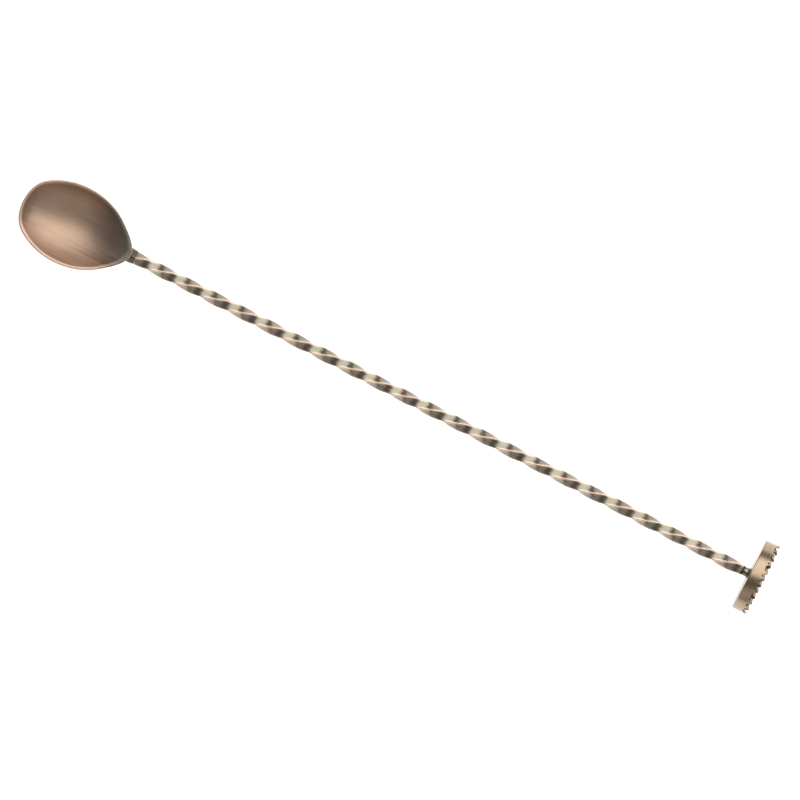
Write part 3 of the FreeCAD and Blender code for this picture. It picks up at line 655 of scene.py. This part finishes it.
def file_end(mesh):
    """Slide the plain end back to the bowl and rebuild its end face as a patch that follows the bowl."""
    work = bmesh.new()
    work.from_mesh(mesh)
    work.verts.ensure_lookup_table()
    for vertex in work.verts:
        x, y, z = vertex.co
        if x < TWIST_START:
            share = (TWIST_START - x) / (TWIST_START - STEM_START)
            end = neck_contact(y, z, BRAZE_GAP)
            vertex.co.x = TWIST_START - share * (TWIST_START - end)
    cap = max(work.faces, key=lambda face: (len(face.verts) > 4, -face.calc_center_median().x))
    ring = list(cap.verts)
    bmesh.ops.delete(work, geom=[cap], context="FACES_ONLY")
    corners = [(vertex.co.y, vertex.co.z) for vertex in ring]
    steps = list(range(len(ring)))
    for share in PATCH_RINGS:
        shrunk = [(y * share, z * share) for y, z in corners]
        inner = [work.verts.new((neck_contact(y, z, BRAZE_GAP), y, z)) for y, z in shrunk]
        for step in steps:
            work.faces.new((ring[step - 1], ring[step], inner[step], inner[step - 1]))
        ring = inner
    pole = work.verts.new((neck_contact(0.0, 0.0, BRAZE_GAP), 0, 0))
    for step in steps:
        work.faces.new((ring[step - 1], ring[step], pole))
    work.to_mesh(mesh)
    work.free()
    mesh.shade_smooth()
    return mesh


def axis_distance(tree, y, z):
    """Distance from the stem's axis."""
    flat = node(tree, "ShaderNodeCombineXYZ", X=y, Y=z)
    length = node(tree, "ShaderNodeVectorMath", {"operation": "LENGTH"}, i0=flat.outputs[0])
    return length.outputs["Value"]


# %% The stem's finish
FLAT_POLISH, RIDGE_POLISH = 0.35, 0.8
RIDGE_WORN_FROM = BAR_CORNER - 0.34 * MM
RIDGE_WORN_FULL = BAR_CORNER - 0.10 * MM


def stem_masks(tree, x, y, z):
    """The twisted edges are bright, and the film stays on the flats between them."""
    radius = axis_distance(tree, y, z)
    polish = remap(tree, radius, BAR_ACROSS / 2, BAR_CORNER, FLAT_POLISH, RIDGE_POLISH)
    bright_copper_share = remap(tree, radius, RIDGE_WORN_FROM, RIDGE_WORN_FULL)
    return polish, bright_copper_share


stem_copper = antique_copper(
    "stem_copper", (0.165, 0.155, 0.125, 1), (0.30, 0.265, 0.21, 1), stem_masks,
    brush_scale=(160, 1800, 1800), roughness=(0.40, 0.28, 0.33), metal=1.0, variation=0.5)
stem = finish_mesh("stem_twisted", file_end(stem_mesh(stem_copper)), stem_copper)

# %% [markdown]
# ## The masher disc
#
# The disc is turned on a lathe, then a row of V grooves is milled across its face and a second row at
# right angles, which leaves a grid of small blunt pyramids. The model is made the same way. The blank is a
# lathe mesh. Geometry Nodes set one tapered cutter at every groove, in both directions, and a boolean takes
# them all out at once. A narrow bevel afterwards breaks the sharp edges so that they catch the light.


# %% The disc's blank
BACK_STEPS = 6                  # lines along the rounded back edge
UNCUT_RING = 0.3 * MM           # height of the ring of points left whole under the teeth


def disc_blank():
    """The turned blank with a rounded back edge and a blind seat for the shank."""
    seat = SHANK_RADIUS + SEAT_CLEARANCE
    floor = DISC_BACK + SHANK_SEATED + SEAT_END_GAP
    points = [(floor, 0.0), (floor, seat), (DISC_BACK, seat)]
    points.append((DISC_BACK, (seat + DISC_RADIUS) / 2))
    centre = DISC_RADIUS - DISC_BACK_ROUND
    for step in range(BACK_STEPS + 1):
        angle = math.radians(90 * step / BACK_STEPS)
        along = DISC_BACK_ROUND * (1 - math.cos(angle))
        points.append((DISC_BACK + along, centre + DISC_BACK_ROUND * math.sin(angle)))
    points.append((OVERALL_LENGTH - TOOTH_DEPTH - UNCUT_RING, DISC_RADIUS))
    points.append((OVERALL_LENGTH - DISC_FRONT_BEVEL, DISC_RADIUS))
    points.append((OVERALL_LENGTH, DISC_RADIUS - DISC_FRONT_BEVEL))
    points.append((OVERALL_LENGTH, 0.0))
    return lathe("disc_blank", points)


# %% The teeth
CUTTER_REACH = 2.4              # length of a cutter, in radii of the disc
BROKEN_EDGE = 0.05 * MM
SHARP_EDGE = math.radians(35)   # edges sharper than this are broken


def groove_cutter(tree, source):
    """One tapered bar that is narrow at the groove's floor and wide above the face."""
    depth = maths(tree, "MULTIPLY", source["Depth"], 2.0)
    size = node(tree, "ShaderNodeCombineXYZ", X=depth, Y=1.0, Z=source["Reach"])
    cube = node(tree, "GeometryNodeMeshCube", Size=size.outputs[0])
    place = tree.nodes.new("GeometryNodeInputPosition").outputs[0]
    split = node(tree, "ShaderNodeSeparateXYZ", Vector=place)
    half_floor = maths(tree, "MULTIPLY", source["Floor"], 0.5)
    half_top = maths(tree, "SUBTRACT", source["Mouth"], half_floor)
    low = maths(tree, "MULTIPLY", source["Depth"], -1.0)
    width = remap(tree, split.outputs[0], low, source["Depth"], half_floor, half_top, "LINEAR")
    y = maths(tree, "MULTIPLY", maths(tree, "SIGN", split.outputs[1]), width)
    tapered = node(tree, "ShaderNodeCombineXYZ", X=split.outputs[0], Y=y, Z=split.outputs[2])
    cutter = node(tree, "GeometryNodeSetPosition", Geometry=cube.outputs[0], Position=tapered.outputs[0])
    return cutter.outputs[0]


def disc_mesh(material):
    """The blank with its grid of teeth, in the spoon frame."""
    side_grooves = math.floor(DISC_RADIUS / TOOTH_PITCH)
    inputs = {
        "Face": OVERALL_LENGTH, "Depth": TOOTH_DEPTH, "Mouth": GROOVE_MOUTH, "Floor": GROOVE_FLOOR,
        "Pitch": TOOTH_PITCH, "Count": 2 * side_grooves + 1, "Reach": CUTTER_REACH * DISC_RADIUS,
        "Grid Turn": GRID_TURN, "Material": material,
    }
    tree, source, target, keys = new_tree("Tooth grid", inputs)
    half_span = maths(tree, "MULTIPLY", maths(tree, "SUBTRACT", source["Count"], 1.0), 0.5)
    first_y = maths(tree, "MULTIPLY", maths(tree, "MULTIPLY", half_span, source["Pitch"]), -1.0)
    start = node(tree, "ShaderNodeCombineXYZ", X=source["Face"], Y=first_y)
    step = node(tree, "ShaderNodeCombineXYZ", Y=source["Pitch"])
    row = node(tree, "GeometryNodeMeshLine", Count=source["Count"], Start_Location=start.outputs[0],
               Offset=step.outputs[0])
    placed = node(tree, "GeometryNodeInstanceOnPoints", Points=row.outputs[0],
                  Instance=groove_cutter(tree, source))
    cutters = tree.nodes.new("GeometryNodeJoinGeometry")
    for extra in (0.0, math.pi / 2):
        angle = maths(tree, "ADD", source["Grid Turn"], extra)
        turn = node(tree, "ShaderNodeCombineXYZ", X=angle)
        real = node(tree, "GeometryNodeRealizeInstances", Geometry=placed.outputs[0])
        turned = node(tree, "GeometryNodeTransform", Geometry=real.outputs[0], Rotation=turn.outputs[0])
        tree.links.new(turned.outputs[0], cutters.inputs[0])
    cut = node(tree, "GeometryNodeMeshBoolean", {"operation": "DIFFERENCE", "solver": "EXACT"},
               i0=source["Geometry"], i1=cutters.outputs[0])
    cut.inputs["Self Intersection"].default_value = True
    close_tree(tree, source, target, cut.outputs[0])
    return evaluate(tree, keys, inputs, disc_blank())


def break_edges(mesh, width):
    """Bevel the sharp edges of a mesh by a small width."""
    carrier = bpy.data.objects.new("carrier", mesh)
    bpy.context.scene.collection.objects.link(carrier)
    bevel = carrier.modifiers.new("Broken edges", "BEVEL")
    bevel.width = width
    bevel.segments = 2
    bevel.limit_method = "ANGLE"
    bevel.angle_limit = SHARP_EDGE
    depsgraph = bpy.context.evaluated_depsgraph_get()
    result = bpy.data.meshes.new_from_object(carrier.evaluated_get(depsgraph), depsgraph=depsgraph)
    bpy.data.objects.remove(carrier)
    return result


# %% The disc's finish
DISC_POLISH = 0.8
FILM_AND_SHADE_INSIDE = (0.02 * MM, 0.15 * MM)    # how far in from the disc's side the film and its painted shade start, and are whole
FILM_AND_SHADE_BELOW = (0.5 * MM, 1.3 * MM)       # how far below the tooth tips they start, and are whole
TIPS_RUBBED = (0.75 * MM, 0.1 * MM)     # how far below the tips the rubbing starts, and is full
TIP_WEAR = 0.75
BACK_RUBBED = (0.4 * MM, 0.1 * MM)      # how far from the back corner the rubbing starts, and is full
BACK_WEAR = 0.12


def disc_masks(tree, x, y, z):
    """The grooves keep their film, made darker as painted shade. The back edge and the tooth tips are
    rubbed, the tips most.
    """
    radius = axis_distance(tree, y, z)
    inward = remap(tree, radius, *(DISC_RADIUS - inset for inset in FILM_AND_SHADE_INSIDE))
    deep = remap(tree, x, *(OVERALL_LENGTH - depth for depth in FILM_AND_SHADE_BELOW))
    behind = remap(tree, x, DISC_BACK + 0.5 * TOOTH_DEPTH, DISC_BACK + TOOTH_DEPTH)
    groove = maths(tree, "MULTIPLY", maths(tree, "MULTIPLY", inward, deep), behind)
    polish = maths(tree, "SUBTRACT", DISC_POLISH, groove)
    tips = remap(tree, x, *(OVERALL_LENGTH - depth for depth in TIPS_RUBBED), 0.0, TIP_WEAR)
    back_corner = maths(tree, "SUBTRACT", radius, x)
    reaches = (DISC_RADIUS - DISC_BACK - depth for depth in BACK_RUBBED)
    back_edge = remap(tree, back_corner, *reaches, 0.0, BACK_WEAR)
    return polish, maths(tree, "MAXIMUM", tips, back_edge)


# The disc's film colour is darker than patina alone: it paints the shade in the grooves.
disc_copper = antique_copper(
    "disc_copper", (0.045, 0.038, 0.030, 1), (0.35, 0.256, 0.175, 1), disc_masks,
    brush_scale=(1600, 60, 60), roughness=(0.80, 0.28, 0.28), metal=1.0, variation=0.35)
disc = finish_mesh("disc_toothed", break_edges(disc_mesh(disc_copper), BROKEN_EDGE), disc_copper)

# %% [markdown]
# ## The brazed joints
#
# Braze runs into a joint and leaves a small hollow fillet. The one at the disc is a ring, so the lathe
# helper makes it. The one at the bowl follows the square bar: it starts on the bowl's outside, runs out
# along the bar and thins to a rounded end. Each is a closed ring of its own, so it stays a separate piece.


# %% Braze at the disc
BRAZE_FILM = 0.015 * MM         # the braze is never quite nothing at its thin edges
FILLET_STEPS = 8


def disc_braze_mesh():
    """A ring with a hollow face between the shank and the disc."""
    points = []
    for step in range(FILLET_STEPS + 1):
        angle = math.radians(90 * step / FILLET_STEPS)
        x = DISC_BACK - DISC_BRAZE_LEG * (1 - math.sin(angle))
        points.append((x, SHANK_RADIUS + BRAZE_FILM + DISC_BRAZE_LEG * (1 - math.cos(angle))))
    points.append((DISC_BACK, SHANK_RADIUS))
    points.append((DISC_BACK - DISC_BRAZE_LEG, SHANK_RADIUS))
    return lathe("disc_braze", points, segments=96)


def joint_masks(tree, x, y, z):
    """The cloth hardly reaches into a joint: its film is thinner only where the braze is proud."""
    radius = axis_distance(tree, y, z)
    return remap(tree, radius, SHANK_RADIUS, COLLAR_TOP, 0.1, 0.5), 0.0


braze_copper = antique_copper(
    "braze_copper", (0.055, 0.049, 0.040, 1), (0.20, 0.16, 0.12, 1), joint_masks,
    brush_scale=(900, 900, 900), roughness=(0.55, 0.40, 0.36), metal=0.9, variation=0.4)
disc_braze = finish_mesh("disc_joint", disc_braze_mesh(), braze_copper)

# %% Braze at the bowl
BRAZE_STEPS = 10
EDGE_STEPS = 8                  # lines along one rounded edge, and along one flat
SLEEVE_FULLNESS = 4             # how long the sleeve stays thick before it thins out
LEAST_UPWARDS = 0.01            # keeps the division below from running away on the sides and the underside


def square_outline(turn):
    """Points round the bar's section and the outward direction at each, both turned about the axis."""
    flat = BAR_ACROSS / 2 - BAR_EDGE
    points, normals = [], []
    for corner in range(4):
        first = corner * math.pi / 2
        middle = first + math.pi / 4
        centre = np.array((math.cos(middle), math.sin(middle))) * flat * math.sqrt(2)
        for step in range(EDGE_STEPS + 1):
            angle = first + math.pi / 2 * step / EDGE_STEPS
            direction = np.array((math.cos(angle), math.sin(angle)))
            points.append(centre + BAR_EDGE * direction)
            normals.append(direction)
        end, normal = points[-1], normals[-1]
        side = np.array((-normal[1], normal[0]))
        for step in range(1, EDGE_STEPS):
            points.append(end + side * 2 * flat * step / EDGE_STEPS)
            normals.append(normal)
    turned = np.array(((math.cos(turn), -math.sin(turn)), (math.sin(turn), math.cos(turn))))
    return np.array(points) @ turned.T, np.array(normals) @ turned.T


def bowl_braze_mesh():
    """A sleeve of braze round the bar, from the slope of the bowl's neck to its thin rounded end."""
    base, normals = square_outline(LAP_TURN)
    upwards_share = np.maximum(normals[:, 1], LEAST_UPWARDS)
    below_rim = (RIM_LEVEL - 2 * BRAZE_FILM - base[:, 1]) / upwards_share
    leg = np.clip(below_rim, BRAZE_FILM, BOWL_BRAZE_LEG)
    rings = []
    for step in range(BRAZE_STEPS + 1):
        share = step / BRAZE_STEPS
        thickness = leg * (1 - share ** SLEEVE_FULLNESS) + BRAZE_FILM
        section = base + normals * thickness[:, None]
        contact = neck_contact(section[:, 0], section[:, 1], 0.0)
        rings.append(np.column_stack([contact + (COLLAR_END - contact) * share, section]))
    foot = neck_contact(base[:, 0], base[:, 1], 0.0)
    rings.append(np.column_stack([np.full_like(foot, COLLAR_END), base]))
    rings.append(np.column_stack([foot, base]))
    count = len(base)
    faces = ring_faces(len(rings), count)
    last = (len(rings) - 1) * count
    for step in range(count):
        following = (step + 1) % count
        faces.append((last + step, last + following, following, step))
    mesh = bpy.data.meshes.new("bowl_braze")
    mesh.from_pydata(np.concatenate(rings).tolist(), [], faces)
    return mesh


bowl_braze = finish_mesh("bowl_joint", bowl_braze_mesh(), braze_copper)

# %% [markdown]
# Each fine mesh stands for one CAD node and rides on the spoon's one body, with the finish made for it
# above.
# Small pieces get smooth shading, and the teeth keep their flat sides by angle.


# %% Tie the pieces to the frame
def shade(piece, angle):
    """Smooth shading that keeps edges sharper than an angle."""
    work = bmesh.new()
    work.from_mesh(piece.data)
    for face in work.faces:
        face.smooth = True
    for edge in work.edges:
        edge.smooth = len(edge.link_faces) != 2 or edge.calc_face_angle() < angle
    work.to_mesh(piece.data)
    work.free()


PIECES = [
    (bowl, "bowl", "brushed_copper", 50),
    (stem, "twisted_stem", "twisted_copper", 50),
    (disc, "masher_disc", "toothed_copper", 30),
    (bowl_braze, "bowl_braze", "braze", 60),
    (disc_braze, "disc_braze", "braze", 60),
]
for piece, cad_node, slot_name, sharp in PIECES:
    shade(piece, math.radians(sharp))
    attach(piece, "root")
    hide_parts(cad_node)
    print(f"{piece.name} stands for {cad_node}")

# %% [markdown]
# ## The studio
#
# The floor is a plain pale sheet. Brushed metal is seen mostly by what it reflects, so the light matters
# as much as the finish: a broad softbox over one long side of the spoon, a weaker one on the other side, and
# a dim room, which leaves the dark bands between them.

# %% Floor
FLOOR_SIZE = 6.0
PAPER_SHADE = 0.9
PAPER_GLOW = 0.8                # keeps the sheet even and pale under the spoon
floor_mesh = bpy.data.meshes.new("floor")
half_floor = FLOOR_SIZE / 2
floor_corners = [(-half_floor, -half_floor, 0), (half_floor, -half_floor, 0),
                 (half_floor, half_floor, 0), (-half_floor, half_floor, 0)]
floor_mesh.from_pydata(floor_corners, [], [(0, 1, 2, 3)])
floor = bpy.data.objects.new("floor", floor_mesh)
bpy.context.scene.collection.objects.link(floor)
paper = bpy.data.materials.new("white_paper")
paper.use_nodes = True
paper_shader = paper.node_tree.nodes["Principled BSDF"]
paper_shader.inputs["Base Color"].default_value = (PAPER_SHADE, PAPER_SHADE, PAPER_SHADE, 1)
paper_shader.inputs["Roughness"].default_value = 0.9
paper_shader.inputs["Emission Color"].default_value = (1, 1, 1, 1)
paper_shader.inputs["Emission Strength"].default_value = PAPER_GLOW
floor_mesh.materials.append(paper)


# %% Lights
ROOM_LIGHT = 0.21


def softbox(name, side_angle, turn, distance, width, length, along, power):
    """A rectangular light beside the spoon.

    side_angle is measured from straight up towards +Y. turn is how far the box is turned about its own
    middle, so that its long side isn't parallel to the stem.
    """
    lamp = bpy.data.lights.new(name, "AREA")
    lamp.shape = "RECTANGLE"
    lamp.size = length
    lamp.size_y = width
    lamp.energy = power
    stand = bpy.data.objects.new(name, lamp)
    bpy.context.scene.collection.objects.link(stand)
    angle = math.radians(side_angle)
    stand.location = (along, distance * math.sin(angle), distance * math.cos(angle))
    facing = Matrix.Rotation(-angle, 3, "X") @ Matrix.Rotation(math.radians(turn), 3, "Z")
    stand.rotation_euler = facing.to_euler()
    stand.visible_camera = False
    print(f"light {name}: {power} W at {side_angle} degrees")


softbox("key", side_angle=34.5, turn=27, distance=1.0, width=1.02, length=1.9, along=0.2, power=17)
softbox("fill", side_angle=-52, turn=27, distance=1.1, width=0.7, length=1.8, along=0.4, power=2.5)

world = bpy.data.worlds.new("dim_room")
world.use_nodes = True
background = world.node_tree.nodes["Background"]
background.inputs["Color"].default_value = (1, 1, 1, 1)
background.inputs["Strength"].default_value = ROOM_LIGHT
bpy.context.scene.world = world
bpy.context.scene.view_settings.view_transform = "Standard"

# %% [markdown]
# The camera looks straight down on the open bowl through a long lens, which keeps the disc edge-on. The
# spoon lies across the frame from upper left to lower right.

# %% Camera
FRAME_WIDTH = 269.2 * MM        # width of the view at the spoon
CAMERA_ROLL = math.radians(27.22)
LOOK_AT = Vector((143.5 * MM, -1.85 * MM, 0))
LENS = 600
SENSOR = 36

camera_data = bpy.data.cameras.new("camera")
camera_data.lens = LENS
camera_data.sensor_width = SENSOR
camera = bpy.data.objects.new("camera", camera_data)
bpy.context.scene.collection.objects.link(camera)
right = stem_axis * math.cos(CAMERA_ROLL) + sideways * math.sin(CAMERA_ROLL)
top = sideways * math.cos(CAMERA_ROLL) - stem_axis * math.sin(CAMERA_ROLL)
distance = FRAME_WIDTH * LENS / SENSOR
camera_turn = Matrix((right, top, upwards)).transposed().to_4x4()
camera.matrix_world = Matrix.Translation(SPOON @ LOOK_AT + upwards * distance) @ camera_turn
bpy.context.scene.camera = camera
print(f"camera {distance:.2f} m above the spoon")
